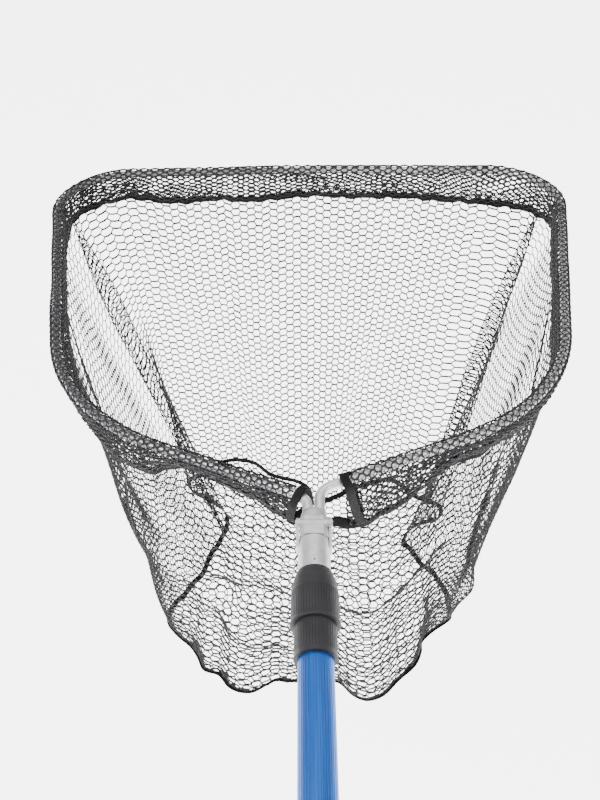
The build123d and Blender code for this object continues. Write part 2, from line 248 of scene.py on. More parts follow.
def window(share, first, last):
    """Rises from 0 to 1 between first and the middle of the reach, and falls to 0 at last."""
    middle = min((first + last) / 2, first + 0.6)
    return smoothstep((share - first) / (middle - first)) * smoothstep((last - share) / (last - middle))


def nearness(u):
    """1 on the near panel, 0 on the far one."""
    return bump_of(from_line(u, 0.0) / PANEL_REACH)


# ---------------------------------------------------------------- the bag's surface
class Bag:
    """Surface between the rim and the base seam. u is the distance round the rim, v the distance down."""

    STEPS_U, STEPS_V = 1400, 72
    BELOW_TAPE = 0.003
    # the wall's Bezier handle: its share of the way in and down, its bow at the far wall and its bulge
    HANDLE_IN, HANDLE_DOWN, HANDLE_FAR, HANDLE_BULGE = 0.65, 0.62, 0.035, 1.06
    HANDLE_CENTRE = np.array([0, 0.25])
    CALM = 0.15  # what is left of the waves on the far panel

    def __init__(self):
        s = np.arange(self.STEPS_U) * AROUND / self.STEPS_U
        top, bottom = hem_point(s), seam_point(s)
        top[:, 2] -= self.BELOW_TAPE
        tau = np.linspace(0, 1, self.STEPS_V + 1)[None, :, None]
        middle = self.middle(s, top, bottom)
        grid = ((1 - tau) ** 2 * top[:, None] + 2 * tau * (1 - tau) * middle[:, None]
                + tau**2 * bottom[:, None])
        grid = self.even(grid)
        self.length = np.linalg.norm(np.diff(grid, axis=1), axis=2).sum(1)
        self.s, self.grid = s, self.folded(s, grid)

    def middle(self, s, top, bottom):
        """Bezier handle: the wall drops before it turns in to the base."""
        handle = top * (1 - self.HANDLE_IN) + bottom * self.HANDLE_IN
        handle[:, 1] += self.HANDLE_FAR * bump_of((s - S_FAR) / PANEL_REACH)
        handle[:, 2] = between(top[:, 2], bottom[:, 2], self.HANDLE_DOWN)
        out = handle[:, :2] - self.HANDLE_CENTRE
        handle[:, :2] = self.HANDLE_CENTRE + out * self.HANDLE_BULGE
        return handle

    @staticmethod
    def even(grid):
        """Spaces the points of each column evenly along it."""
        result = np.empty_like(grid)
        share = np.linspace(0, 1, grid.shape[1])
        for i, column in enumerate(grid):
            marks = marks_of(column)
            for axis in range(3):
                result[i, :, axis] = np.interp(share * marks[-1], marks, column[:, axis])
        return result

    def folded(self, s, grid):
        """Soft waves and the creases that run from the seam's gathers up the wall."""
        normal = self.normals(grid)
        share = np.linspace(0, 1, grid.shape[1])[None, :]
        u = s[:, None]
        lift = ripple(u, 11, 0.0045, 3 * share) * np.sin(np.pi * share) ** 0.8
        lift += ripple(u, 19, 0.0035, 1.3 - 5 * share) * np.sin(np.pi * share)
        lift *= self.CALM + (1 - self.CALM) * nearness(u)
        for centre, drift, width, height, first, last in CREASES:
            line = bump_of((from_line(u, centre) - drift * share) / width)
            lift = lift + height * window(share, first, last) * line
        return grid + normal * lift[..., None]

    @staticmethod
    def normals(grid):
        du = np.roll(grid, -1, 0) - np.roll(grid, 1, 0)
        dv = np.gradient(grid, axis=1)
        return unit(np.cross(du, dv))

    def depth_at(self, u):
        """Length of the wall from the rim to the base seam."""
        return np.interp(np.mod(u, AROUND), np.append(self.s, AROUND), np.append(self.length, self.length[0]))

    def at(self, u, share):
        """Point on the surface, by rim distance and share of the way down."""
        x = np.mod(u, AROUND) / AROUND * self.STEPS_U
        y = np.clip(share, 0, 1) * self.STEPS_V
        i, j = np.floor(x).astype(int), np.minimum(np.floor(y).astype(int), self.STEPS_V - 1)
        fx, fy = (x - i)[..., None], (y - j)[..., None]
        i, k = i % self.STEPS_U, (i + 1) % self.STEPS_U
        g = self.grid
        return (g[i, j] * (1 - fx) * (1 - fy) + g[k, j] * fx * (1 - fy) + g[i, j + 1] * (1 - fx) * fy
                + g[k, j + 1] * fx * fy)


# centre on the rim, drift down the wall, half width and height in metres; first and last share of the wall
CREASES = [
    (0.760, 0.21, 0.014, 0.009, 0.10, 0.98),
    (1.283, -0.16, 0.014, 0.009, 0.30, 0.98),
    (0.888, 0.05, 0.018, 0.006, 0.2, 0.9),
    (0.397, -0.53, 0.022, 0.007, 0.33, 0.78),
    (-0.110, 0.44, 0.014, -0.010, 0.28, 0.60),
    (-0.580, 1.40, 0.040, 0.010, 0.28, 0.45),
    (-0.100, -0.20, 0.014, 0.010, 0.45, 0.98),
]
# pleats lay the netting in three layers, in left and right pairs
# centre, drift, half width and overlap in metres; first and last share of the wall
PLEATS = [
    (0.704, -0.040, 0.040, 0.096, -0.30, 2.0), (1.416, -0.055, 0.036, 0.086, -0.30, 2.0),
    (0.497, -0.430, 0.020, 0.028, -0.10, 0.45), (1.619, 0.620, 0.020, 0.028, -0.10, 0.40),
    (0.215, 0.060, 0.015, 0.036, -0.20, 0.95), (1.905, 0.050, 0.015, 0.038, -0.20, 0.95),
]
PLEAT_LIFT = 0.002


def drift_noise(u, v, seed):
    """Slow unevenness of the mesh, about one unit high."""
    rng = np.random.default_rng(seed)
    total = np.zeros(np.broadcast(u, v).shape)
    for _ in range(6):
        ku, kv = rng.integers(3, 22), rng.uniform(4, 20)
        total += np.sin(u * 2 * np.pi * ku / AROUND + v * kv * 2 * np.pi + rng.uniform(0, 6.28)) / 2.4
    return total


# ---------------------------------------------------------------- strands
LEG_BOW = 0.0006
SLOPE_STEP = 0.002


def hex_strands(columns, rows, cell_u, cell_v, joint):
    """Ends of every strand of a hexagonal lattice in (u, v): arrays n x 2, with a flag for joints."""
    k, j = np.meshgrid(np.arange(columns), np.arange(rows), indexing="ij")
    k, j = k.ravel(), j.ravel()
    middle = (k + 0.5 * (j % 2)) * cell_u
    v = j * cell_v / 2
    left, right = np.stack([middle - joint / 2, v], -1), np.stack([middle + joint / 2, v], -1)
    reach = cell_u / 2 - joint
    down_right = np.stack([middle + joint / 2 + reach, v + cell_v / 2], -1)
    down_left = np.stack([middle - joint / 2 - reach, v + cell_v / 2], -1)
    starts = np.concatenate([left, right, left])
    ends = np.concatenate([right, down_right, down_left])
    is_joint = np.zeros(len(starts), bool)
    is_joint[:len(left)] = True
    return starts, ends, is_joint


def tube_mesh(name, stations, radii, facing, material):
    """Closed four-sided strands. stations: n x m x 3 points, radii: n x m, facing: n x 3."""
    n, m = stations.shape[:2]
    along = unit(stations[:, -1] - stations[:, 0])
    side = unit(np.cross(along, facing))
    up = np.cross(side, along)
    ring = np.stack([side, up, -side, -up], 1)
    verts = stations[:, :, None] + ring[:, None] * radii[:, :, None, None]
    base = (np.arange(n) * m * 4)[:, None, None]
    step = (np.arange(m - 1) * 4)[None, :, None]
    corner = np.arange(4)[None, None]
    nxt = (corner + 1) % 4
    near, far = base + step, base + step + 4
    quads = np.stack([near + corner, near + nxt, far + nxt, far + corner], -1)
    first = np.arange(n)[:, None] * m * 4 + np.array([3, 2, 1, 0])[None]
    last = np.arange(n)[:, None] * m * 4 + (m - 1) * 4 + np.array([0, 1, 2, 3])[None]
    faces = np.concatenate([quads.reshape(-1, 4), first, last])
    return quad_mesh(name, verts.reshape(-1, 3), faces, material)


def quad_mesh(name, verts, faces, material):
    """A smooth mesh of four-sided faces. verts are measured from the yoke."""
    verts = np.asarray(verts, float) + np.array([0, YOKE_Y, 0])
    mesh = bpy.data.meshes.new(name)
    mesh.vertices.add(len(verts))
    mesh.vertices.foreach_set("co", verts.astype(np.float32).ravel())
    mesh.loops.add(faces.size)
    mesh.loops.foreach_set("vertex_index", faces.astype(np.int32).ravel())
    mesh.polygons.add(len(faces))
    mesh.polygons.foreach_set("loop_start", np.arange(0, faces.size, 4, dtype=np.int32))
    mesh.polygons.foreach_set("loop_total", np.full(len(faces), 4, np.int32))
    mesh.update(calc_edges=True)
    mesh.validate()
    mesh.shade_smooth()
    mesh.materials.append(material)
    obj = bpy.data.objects.new(name, mesh)
    bpy.context.scene.collection.objects.link(obj)
    return obj


def net_piece(name, a, b, is_joint, surface, material, seed, weight=1.0):
    """Strands between (u, v) ends a and b, laid on the surface. The legs bow a little to either side."""
    rng = np.random.default_rng(seed)
    bow = np.where(is_joint, 0.0, 1.0)[:, None] * rng.uniform(-LEG_BOW, LEG_BOW, (len(a), 1))
    along = b - a
    aside = np.stack([-along[:, 1], along[:, 0]], -1)
    middle = (a + b) / 2 + bow * aside / np.linalg.norm(along, axis=1, keepdims=True)
    stations = np.stack([surface(points[:, 0], points[:, 1]) for points in (a, middle, b)], 1)
    u, v = middle[:, 0], middle[:, 1]
    across = surface(u + SLOPE_STEP, v) - surface(u - SLOPE_STEP, v)
    down = surface(u, v + SLOPE_STEP) - surface(u, v - SLOPE_STEP)
    facing = np.cross(across, down)
    length = np.linalg.norm(facing, axis=1, keepdims=True)
    facing = np.where(length > TINY, facing / np.maximum(length, TINY), UP)
    thick = weight * np.where(is_joint, JOINT_R, LEG_R)[:, None]
    radii = thick * np.array([[0.92, 1.0, 0.92]]) * rng.uniform(0.92, 1.08, (len(a), 1))
    radii = np.where(is_joint[:, None], radii, radii * np.array([[1.15, 0.92, 1.15]]))
    obj = tube_mesh(name, stations, radii, facing, material)
    lengths = np.linalg.norm(np.diff(stations, axis=1), axis=2).sum(1)
    obj["twine_area"] = float((lengths * math.pi * thick[:, 0]).sum())  # one side of the round twine
    return obj


# ---------------------------------------------------------------- materials
class Nodes:
    """Short way to write a material's nodes."""

    def __init__(self, name):
        self.material = bpy.data.materials.new(name)
        self.material.use_nodes = True
        self.tree = self.material.node_tree
        self.shader = self.tree.nodes["Principled BSDF"]

    def add(self, kind, inputs=None, **settings):
        node = self.tree.nodes.new(kind)
        for key, value in settings.items():
            setattr(node, key, value)
        for key, value in (inputs or {}).items():
            if isinstance(value, bpy.types.NodeSocket):
                self.tree.links.new(value, node.inputs[key])
            else:
                node.inputs[key].default_value = value
        return node

    def link(self, value, key):
        self.tree.links.new(value, self.shader.inputs[key])

    def place(self, scale=(1, 1, 1)):
        coordinates = self.add("ShaderNodeTexCoord").outputs["Object"]
        return self.add("ShaderNodeMapping", {"Vector": coordinates, "Scale": scale}).outputs[0]

    def noise(self, scale, detail=3.0, stretch=(1, 1, 1), roughness=0.5):
        inputs = {"Vector": self.place(stretch), "Scale": scale, "Detail": detail, "Roughness": roughness}
        return self.add("ShaderNodeTexNoise", inputs).outputs["Fac"]

    def ramp(self, value, stops):
        node = self.add("ShaderNodeValToRGB", {"Fac": value})
        while len(node.color_ramp.elements) < len(stops):
            node.color_ramp.elements.new(0.5)
        for element, (position, colour) in zip(node.color_ramp.elements, stops):
            element.position = position
            element.color = (*colour, 1)
        return node.outputs["Color"]

    def span(self, value, low, high):
        inputs = {"Value": value, "To Min": low, "To Max": high}
        return self.add("ShaderNodeMapRange", inputs).outputs["Result"]

    def math(self, operation, a, b):
        return self.add("ShaderNodeMath", {0: a, 1: b}, operation=operation).outputs[0]

    def bump(self, height, strength, distance):
        node = self.add("ShaderNodeBump", {"Height": height, "Strength": strength, "Distance": distance})
        self.link(node.outputs["Normal"], "Normal")

    def fixed(self, **values):
        for key, value in values.items():
            self.shader.inputs[key.replace("_", " ")].default_value = value


def grey(value, tint=0.0):
    return (value, value, value + tint)


def netting_material():
    m = Nodes("black_nylon_twine")
    m.link(m.ramp(m.noise(60, 3), [(0.3, grey(0.016, 0.0012)), (0.7, grey(0.030, 0.002))]), "Base Color")
    m.link(m.span(m.noise(900, 2), 0.42, 0.68), "Roughness")
    m.bump(m.noise(2600, 2), 0.5, 0.0003)
    m.fixed(Specular_IOR_Level=0.15)
    return m.material


def tape_material():
    m = Nodes("black_woven_tape")
    ribs = m.add("ShaderNodeTexWave", {"Vector": m.place(), "Scale": 620.0, "Distortion": 0.6},
                 bands_direction="Z").outputs["Fac"]
    weave = m.math("MULTIPLY", ribs, m.noise(1500, 2))
    m.link(m.ramp(m.noise(90, 3), [(0.3, grey(0.004, 0.0004)), (0.75, grey(0.009, 0.0008))]), "Base Color")
    m.link(m.span(m.noise(300, 2), 0.62, 0.85), "Roughness")
    m.bump(weave, 0.6, 0.0004)
    m.fixed(Specular_IOR_Level=0.10)
    return m.material


ALONG_POLE = (60, 1.5, 60)  # stretches a noise into streaks along the pole
ALONG_HOOP = (8, 8, 30)


def anodised_blue():
    m = Nodes("blue_anodised_aluminium")
    streaks = m.noise(9, 4, ALONG_POLE, 0.6)
    fine = m.noise(40, 3, (60, 2, 60), 0.6)
    colour = m.ramp(streaks, [(0.25, (0.004, 0.055, 0.24)), (0.55, (0.007, 0.075, 0.31)),
                              (0.8, (0.012, 0.10, 0.38))])
    m.link(colour, "Base Color")
    m.link(m.span(fine, 0.24, 0.42), "Roughness")
    m.bump(fine, 0.12, 0.0003)
    m.fixed(Metallic=0.75, Specular_IOR_Level=0.6)
    return m.material


def pole_aluminium():
    m = Nodes("silver_pole_aluminium")
    grain = m.noise(30, 4, ALONG_POLE, 0.6)
    m.link(m.ramp(grain, [(0.25, grey(0.50)), (0.8, grey(0.64, 0.01))]), "Base Color")
    m.link(m.span(m.noise(45, 3, ALONG_POLE), 0.26, 0.42), "Roughness")
    m.bump(grain, 0.10, 0.0003)
    m.fixed(Metallic=0.9)
    return m.material


def hoop_aluminium():
    """Bright bare metal at the yoke; beyond it, painted shade of the sleeve darkens the tube, and painted
    light makes it lighter towards the right.
    """
    m = Nodes("hoop_aluminium")
    grain = m.noise(30, 4, ALONG_HOOP, 0.6)
    bright = m.ramp(grain, [(0.25, grey(0.50)), (0.8, grey(0.64, 0.01))])
    coordinates = m.add("ShaderNodeTexCoord").outputs["Object"]
    along_x = m.add("ShaderNodeSeparateXYZ", {0: coordinates}).outputs["X"]
    # painted shade and painted light: grey 0.20 on the left rising to 0.50 on the right, standing for the
    # sleeve's shade and for light falling from the right
    painted_shade_and_side_light = m.ramp(m.math("ADD", m.math("MULTIPLY", along_x, 1.4), 0.5),
                  [(0.40, grey(0.20, 0.008)), (0.56, grey(0.50, 0.01))])
    middle = (0.004, YOKE_Y + 0.006, 0)
    away = m.add("ShaderNodeVectorMath", {0: coordinates, 1: middle}, operation="DISTANCE").outputs["Value"]
    # 0 on the bare tube near the yoke, 1 further out, where the painted shade and light take over
    share = m.ramp(m.math("MULTIPLY", away, 10.0), [(0.36, grey(0.0)), (0.48, grey(1.0))])
    # sockets 6 and 7 of a colour mix are its two colours, and output 2 is the mixed colour
    mix = m.add("ShaderNodeMix", {0: share}, data_type="RGBA")
    for socket, value in ((6, bright), (7, painted_shade_and_side_light)):
        m.tree.links.new(value, mix.inputs[socket])
    m.link(mix.outputs[2], "Base Color")
    m.link(m.span(m.noise(45, 3, ALONG_HOOP), 0.26, 0.42), "Roughness")
    m.bump(grain, 0.10, 0.0003)
    m.fixed(Metallic=0.9)
    return m.material


def cast_metal():
    m = Nodes("tumbled_casting")
    m.link(m.ramp(m.noise(140, 4), [(0.3, grey(0.40)), (0.75, grey(0.54, 0.005))]), "Base Color")
    m.link(m.span(m.noise(260, 3), 0.34, 0.52), "Roughness")
    m.bump(m.noise(900, 3), 0.25, 0.0003)
    m.fixed(Metallic=0.85)
    return m.material


def steel():
    m = Nodes("pin_steel")
    m.link(m.ramp(m.noise(300, 3), [(0.3, grey(0.42)), (0.7, grey(0.56))]), "Base Color")
    m.link(m.span(m.noise(500, 2), 0.28, 0.45), "Roughness")
    m.bump(m.noise(1200, 2), 0.15, 0.0002)
    m.fixed(Metallic=1.0)
    return m.material


def black_plastic():
    m = Nodes("moulded_black_plastic")
    m.link(m.ramp(m.noise(70, 4), [(0.3, grey(0.010, 0.0014)), (0.75, grey(0.017, 0.0020))]), "Base Color")
    m.link(m.span(m.noise(420, 3), 0.42, 0.60), "Roughness")
    m.bump(m.noise(2200, 2), 0.25, 0.0003)
    m.fixed(Specular_IOR_Level=0.25)
    return m.material


def foam():
    m = Nodes("closed_cell_foam")
    cells = m.add("ShaderNodeTexVoronoi", {"Vector": m.place(), "Scale": 900.0}).outputs["Distance"]
    m.link(m.ramp(m.noise(40, 4), [(0.3, grey(0.020)), (0.7, grey(0.038))]), "Base Color")
    m.link(m.span(m.noise(200, 2), 0.78, 0.95), "Roughness")
    m.bump(cells, 0.5, 0.0005)
    return m.material


def rubber():
    m = Nodes("black_rubber")
    m.link(m.ramp(m.noise(60, 3), [(0.3, grey(0.016)), (0.7, grey(0.030))]), "Base Color")
    m.link(m.span(m.noise(180, 2), 0.60, 0.80), "Roughness")
    m.bump(m.noise(1400, 2), 0.3, 0.0003)
    return m.material


def nylon():
    m = Nodes("grey_nylon")
    m.link(m.ramp(m.noise(60, 3), [(0.3, grey(0.38)), (0.7, grey(0.50))]), "Base Color")
    m.link(m.span(m.noise(180, 2), 0.40, 0.60), "Roughness")
    m.bump(m.noise(1400, 2), 0.2, 0.0003)
    return m.material


TWINE, TAPE = netting_material(), tape_material()
CAST, STEEL, PLASTIC, RUBBER, NYLON = cast_metal(), steel(), black_plastic(), rubber(), nylon()
FINISHES = {
    "outer_tube": anodised_blue(), "hand_grip": foam(), "grip_ring": PLASTIC, "butt_cap": RUBBER,
    "lower_sleeve": PLASTIC, "collet": NYLON, "lock_nut": PLASTIC, "wiper_ring": RUBBER,
    "inner_tube": pole_aluminium(), "guide_bush": NYLON, "fork": CAST, "spigot_rivet": STEEL,
    "pivot_pin": STEEL, "hoop_block": CAST, "hoop_rivets": STEEL, "hoop_tube": hoop_aluminium(),
}


def dress_cad():
    """Gives the carried-over CAD pieces their materials."""
    for node, material in FINISHES.items():
        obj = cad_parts[node]
        for slot in obj.material_slots:
            slot.material = material


# ---------------------------------------------------------------- netting of the bag
def warp(u, share):
    """Where the pleats carry the netting along the wall, and how far they lift it."""
    shift, lift = np.zeros_like(u), np.zeros_like(u)
    for centre, drift, width, overlap, first, last in PLEATS:
        x = (from_line(u, centre) - drift * share) / width
        grow = window(share, first, last)
        shift -= overlap * grow * x * bump_of(x)
        lift += PLEAT_LIFT * grow * np.sin(np.clip(x, -3, 3)) * bump_of(x / 1.5)
    return shift, lift


# the side panels' mesh is drawn tight, which thins its twine
TWINE_WEIGHT = {"bag_left": 0.74, "bag_right": 0.74, "bag_near": 0.88, "bag_far": 1.02}
NEAR_STRETCH = 0.38
TIGHT_SLACK, NEAR_SLACK = 0.0005, 0.0016
U_STEP, SHARE_STEP = 0.003, 0.01


def declare(piece, node, flat):
    """Makes a piece ride with the net and stand for its CAD node.

    Netting counts by one side of its twine, at most its flat size. Tape counts by its flat size.
    """
    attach(piece, "net")
    if node:
        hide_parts(node)


def uneven(points):
    """Shifts the netting's knots a little, most on the near panel, and keeps them below the rim."""
    slack = TIGHT_SLACK + NEAR_SLACK * nearness(points[:, 0])
    du = slack * drift_noise(points[:, 0], points[:, 1], 5)
    dv = slack * drift_noise(points[:, 0], points[:, 1], 6)
    points = points + np.stack([du, dv], -1)
    points[:, 1] = np.maximum(points[:, 1], 0)
    return points


def wall_strands(bag):
    """The walls' lattice, cut off at the base seam."""
    rows = int(bag.length.max() / CELL_HEIGHT * 2) + 2
    a, b, is_joint = hex_strands(CELLS_AROUND, rows, CELL_U, CELL_HEIGHT, JOINT_LENGTH)
    # the near panel's slack opens its cells downwards
    for points in (a, b):
        points[:, 1] *= 1 + NEAR_STRETCH * nearness(points[:, 0])
    limit_a, limit_b = bag.depth_at(a[:, 0]), bag.depth_at(b[:, 0])
    keep = a[:, 1] < limit_a
    a, b, is_joint, limit_b = a[keep], b[keep], is_joint[keep], limit_b[keep]
    over = b[:, 1] > limit_b
    share = np.where(over, (limit_b - a[:, 1]) / np.maximum(b[:, 1] - a[:, 1], TINY), 1.0)[:, None]
    b = a + (b - a) * np.clip(share, 0.02, 1)
    return uneven(a), uneven(b), is_joint


def build_walls(bag):
    def surface(u, v):
        share = v / bag.depth_at(u)
        shift, lift = warp(u, np.clip(share, 0, 1))
        u = u + shift
        across = bag.at(u + U_STEP, share) - bag.at(u - U_STEP, share)
        down = bag.at(u, share + SHARE_STEP) - bag.at(u, share - SHARE_STEP)
        return bag.at(u, share) + unit(np.cross(across, down)) * lift[..., None]

    a, b, is_joint = wall_strands(bag)
    u = np.mod((a[:, 0] + b[:, 0]) / 2, AROUND)
    panels = {
        "bag_left": (u >= S_KNEE_L) & (u < S_CORNER_L), "bag_far": (u >= S_CORNER_L) & (u < S_CORNER_R),
        "bag_right": (u >= S_CORNER_R) & (u < S_KNEE_R), "bag_near": (u < S_KNEE_L) | (u >= S_KNEE_R),
    }
    for index, (node, chosen) in enumerate(panels.items()):
        piece = net_piece(node + "_netting", a[chosen], b[chosen], is_joint[chosen], surface, TWINE,
                          20 + index, TWINE_WEIGHT[node])
        depth = float(bag.depth_at(u[chosen]).mean())
        declare(piece, node, (is_joint[chosen].sum() * CELL_U * CELL_HEIGHT / 2 / depth, depth))


def inside(points, outline):
    """Which plane points lie inside a closed outline."""
    x, y = points[:, 0][:, None], points[:, 1][:, None]
    x0, y0 = outline[:, 0][None], outline[:, 1][None]
    x1, y1 = np.roll(outline[:, 0], -1)[None], np.roll(outline[:, 1], -1)[None]
    crosses = ((y0 > y) != (y1 > y)) & (x < (x1 - x0) * (y - y0) / np.where(y1 == y0, TINY, y1 - y0) + x0)
    return crosses.sum(1) % 2 == 1


BASE_CENTRE = (0, 0.24)
BASE_REACH = 0.19
BASE_SAG = 0.006
BASE_RIPPLE = 0.004
BASE_STRETCH = 1.08


def base_surface(x, y):
    """The base sags a little in its middle."""
    centre_x, centre_y = BASE_CENTRE
    reach = np.clip(np.hypot(x - centre_x, y - centre_y) / BASE_REACH, 0, 1)
    ripples = BASE_RIPPLE * np.sin(x * 37 + 2 * np.sin(y * 21)) * (1 - reach)
    return np.stack([x, y, BASE_Z - BASE_SAG * (1 - reach**2) + ripples], -1)


def build_base():
    """Netting over the base, its strands cut where they cross the seam."""
    ring = seam_point(np.linspace(0, AROUND, 600, endpoint=False))
    low, high = ring.min(0), ring.max(0)
    columns = int((high[0] - low[0]) / CELL_WIDTH) + 3
    rows = int((high[1] - low[1]) / CELL_HEIGHT * 2) + 3
    a, b, is_joint = hex_strands(columns, rows, CELL_WIDTH, CELL_HEIGHT * BASE_STRETCH, JOINT_LENGTH)
    a, b = a + low[:2] - 0.01, b + low[:2] - 0.01
    in_a, in_b = inside(a, ring[:, :2]), inside(b, ring[:, :2])
    a, b = np.where(in_a[:, None], a, b), np.where(in_a[:, None], b, a)
    keep = in_a | in_b
    both = (in_a & in_b)[keep]
    a, b, is_joint = a[keep], b[keep], is_joint[keep]
    low_share, high_share = np.zeros(len(a)), np.ones(len(a))
    for _ in range(12):
        middle = (low_share + high_share) / 2
        is_in = inside(a + (b - a) * middle[:, None], ring[:, :2])
        low_share, high_share = np.where(is_in, middle, low_share), np.where(is_in, high_share, middle)
    b = a + (b - a) * np.where(both, 1.0, np.maximum(low_share, 0.03))[:, None]
    piece = net_piece("bag_base_netting", a, b, is_joint, base_surface, TWINE, 31)
    length = high[1] - low[1]
    width = is_joint.sum() * CELL_WIDTH * CELL_HEIGHT / 2 / length
    declare(piece, "bag_base", (width, length))


# ---------------------------------------------------------------- netting sleeve over the hoop
SLEEVE_R = HOOP_R + 0.0016
SLEEVE_ACROSS = 0.118
SLEEVE_JOINT = 0.0032
SLEEVE_SHEAR = 0.10
ON_TUBE = 0.085  # how far from the tube's crest, as a share of the width, the netting lies on the tube
WRAP_ANGLE = math.radians(105)
LAYER_GAP = 0.0011
SLEEVE_END_GAP = 0.004
FAR_SEAM_SETBACK = 0.09  # the sleeve's two seams lie this far from the hoop's corners, on its sides


def sleeve_surface(u, w):
    """w runs from the inner hem (0) over the tube to the outer hem (1)."""
    centre, level = in_space(hoop.at(u)), in_space(hoop.outward(u))
    side = np.where(w < 0.5, -1.0, 1.0)[..., None]
    reach = np.abs(w - 0.5)[..., None]
    slack = 1 + 0.12 * (1 + drift_noise(u, w * 0.3, 9)) * 0.5
    radius = (SLEEVE_R * slack)[..., None]

    def round_tube(angle):
        return centre + level * (side * np.sin(angle)) * radius + UP * np.cos(angle) * radius

    fall = np.clip((reach - ON_TUBE) / (0.5 - ON_TUBE), 0, 1)
    belly = (0.0016 + 0.0014 * drift_noise(u, w, 12))[..., None] * np.sin(np.pi * fall) * side
    hem = hem_point(u) + level * side * LAYER_GAP
    hanging = round_tube(WRAP_ANGLE) * (1 - fall) + hem * fall + level * belly
    on_tube = round_tube(np.clip(reach / ON_TUBE, 0, 1) * WRAP_ANGLE)
    return np.where(reach < ON_TUBE, on_tube, hanging)


def sleeve_at(u, v):
    """Point of the sleeve, by the distances along the hoop and across the sleeve."""
    return sleeve_surface(u, np.clip(v / SLEEVE_ACROSS, 0, 1))


def build_sleeve():
    """The mesh is drawn out lengthwise on the sleeve, so its cells are small diamonds in two layers."""
    bare_left, bare_right = LEFT_START + SLEEVE_END_GAP, RIGHT_START - SLEEVE_END_GAP
    side_end, far_end = S_CORNER_L - FAR_SEAM_SETBACK, S_CORNER_R + FAR_SEAM_SETBACK
    # node, its two ends on the hoop, cell width and height, and how heavy the twine looks
    parts = (("sleeve_left", bare_left, side_end, 0.0114, 0.0063, 0.86),
             ("sleeve_far", side_end, far_end, 0.0156, 0.0070, 1.12),
             ("sleeve_right", far_end, bare_right, 0.0114, 0.0063, 0.86))
    for index, (node, start, end, width, height, weight) in enumerate(parts):
        rows = int(SLEEVE_ACROSS / height * 2)
        columns = int((end - start) / width) + 3
        a, b, is_joint = hex_strands(columns, rows, width, height, SLEEVE_JOINT)
        for points in (a, b):
            points[:, 0] += start - width + SLEEVE_SHEAR * points[:, 1]
            points[:, 1] *= SLEEVE_ACROSS / (rows * height / 2)
            points[:, 0] += 0.0014 * drift_noise(points[:, 0], points[:, 1], 41)
            points[:, 1] += 0.0012 * drift_noise(points[:, 0], points[:, 1], 43)
        middle = (a[:, 0] + b[:, 0]) / 2
        keep = (middle > start) & (middle < end)
        a, b, is_joint = a[keep], b[keep], is_joint[keep]
        for points in (a, b):
            points[:, 0] = np.clip(points[:, 0], bare_left, bare_right)
        piece = net_piece(node + "_netting", a, b, is_joint, sleeve_at, TWINE, 50 + index, weight)
        cut = is_joint.sum() * width * height / 2 / SLEEVE_ACROSS
        declare(piece, node, (cut, SLEEVE_ACROSS))


# ---------------------------------------------------------------- tapes
# a tape's rounded section: across in half widths, then through in half thicknesses
TAPE_SECTION = [(-1.0, 0.0), (-0.94, 0.8), (-0.6, 1.0), (0.0, 1.15), (0.6, 1.0), (0.94, 0.8), (1.0, 0.0),
                (0.94, -0.8), (0.6, -1.0), (0.0, -1.15), (-0.6, -1.0), (-0.94, -0.8)]


def ribbon(name, points, across, width, thickness, closed=False):
    """A strip with rounded edges. points: m x 3, across: m x 3 unit vectors over its width."""
    m = len(points)
    along = np.gradient(points, axis=0)
    if closed:
        along = np.roll(points, -1, 0) - np.roll(points, 1, 0)
    along = unit(along)
    across = unit(across - along * (across * along).sum(1, keepdims=True))
    face = np.cross(along, across)
    half, thick = width / 2, thickness / 2
    rings = np.stack([points + across * half * w + face * thick * h for w, h in TAPE_SECTION], 1)
    k = len(TAPE_SECTION)
    verts = rings.reshape(-1, 3)
    count = m if closed else m - 1
    i = (np.arange(count) * k)[:, None]
    j = (((np.arange(count) + 1) % m) * k)[:, None]
    c = np.arange(k)[None]
    d = (c + 1) % k
    faces = np.stack([i + c, j + c, j + d, i + d], -1).reshape(-1, 4)
    if not closed:
        caps = [[c0, c0 + 1, k - c0 - 1, (k - c0) % k] for c0 in range(0, k // 2)]
        ends = caps + [[q + (m - 1) * k for q in cap[::-1]] for cap in caps]
        faces = np.concatenate([faces, np.array(ends)])
    return quad_mesh(name, verts, faces, TAPE)


def build_rim_tape():
    s = np.linspace(LEFT_START + 0.004, AROUND - 0.012, 900)
    twist = ripple(s, 13, 0.35) + ripple(s, 29, 0.25, 1)
    across = UP + in_space(hoop.outward(s)) * twist[:, None]
    piece = ribbon("rim_tape_strip", hem_point(s), across, TAPE_WIDTH, HEM_THICKNESS)
    declare(piece, "rim_tape", (TAPE_WIDTH, float(s[-1] - s[0])))


def build_base_tape():
    s = np.linspace(0, AROUND, 900, endpoint=False)
    points = seam_point(s)
    out = in_space(unit(points[:, :2] - BASE_CENTRE))
    across = out * 0.8 + UP * 0.6
    piece = ribbon("base_tape_strip", points, across, BASE_TAPE_WIDTH, HEM_THICKNESS, closed=True)
    declare(piece, "base_tape", (TAPE_WIDTH, float(steps_of(points).sum())))


def soft_line(points, count, closed=False):
    """Smooth curve through points given in millimetres."""
    points = np.array(points) / 1000
    if not closed:
        points = np.concatenate([points, 2 * points[-1:] - points[-2:-1], 2 * points[:1] - points[1:2]])
    keys = np.arange(len(points)) / len(points)
    last = 1 if closed else (len(points) - 3) / len(points)
    return closed_spline(keys, points, 1.0, np.linspace(0, last, count, endpoint=not closed))


def build_strip(name, node, points, across, width, closed=False):
    """One length of binding tape that lies along points."""
    across = np.tile(np.array(across, float), (len(points), 1))
    piece = ribbon(name, points, across, width, LOOP_THICKNESS, closed)
    declare(piece, node, (TAPE_WIDTH, float(steps_of(points).sum())))


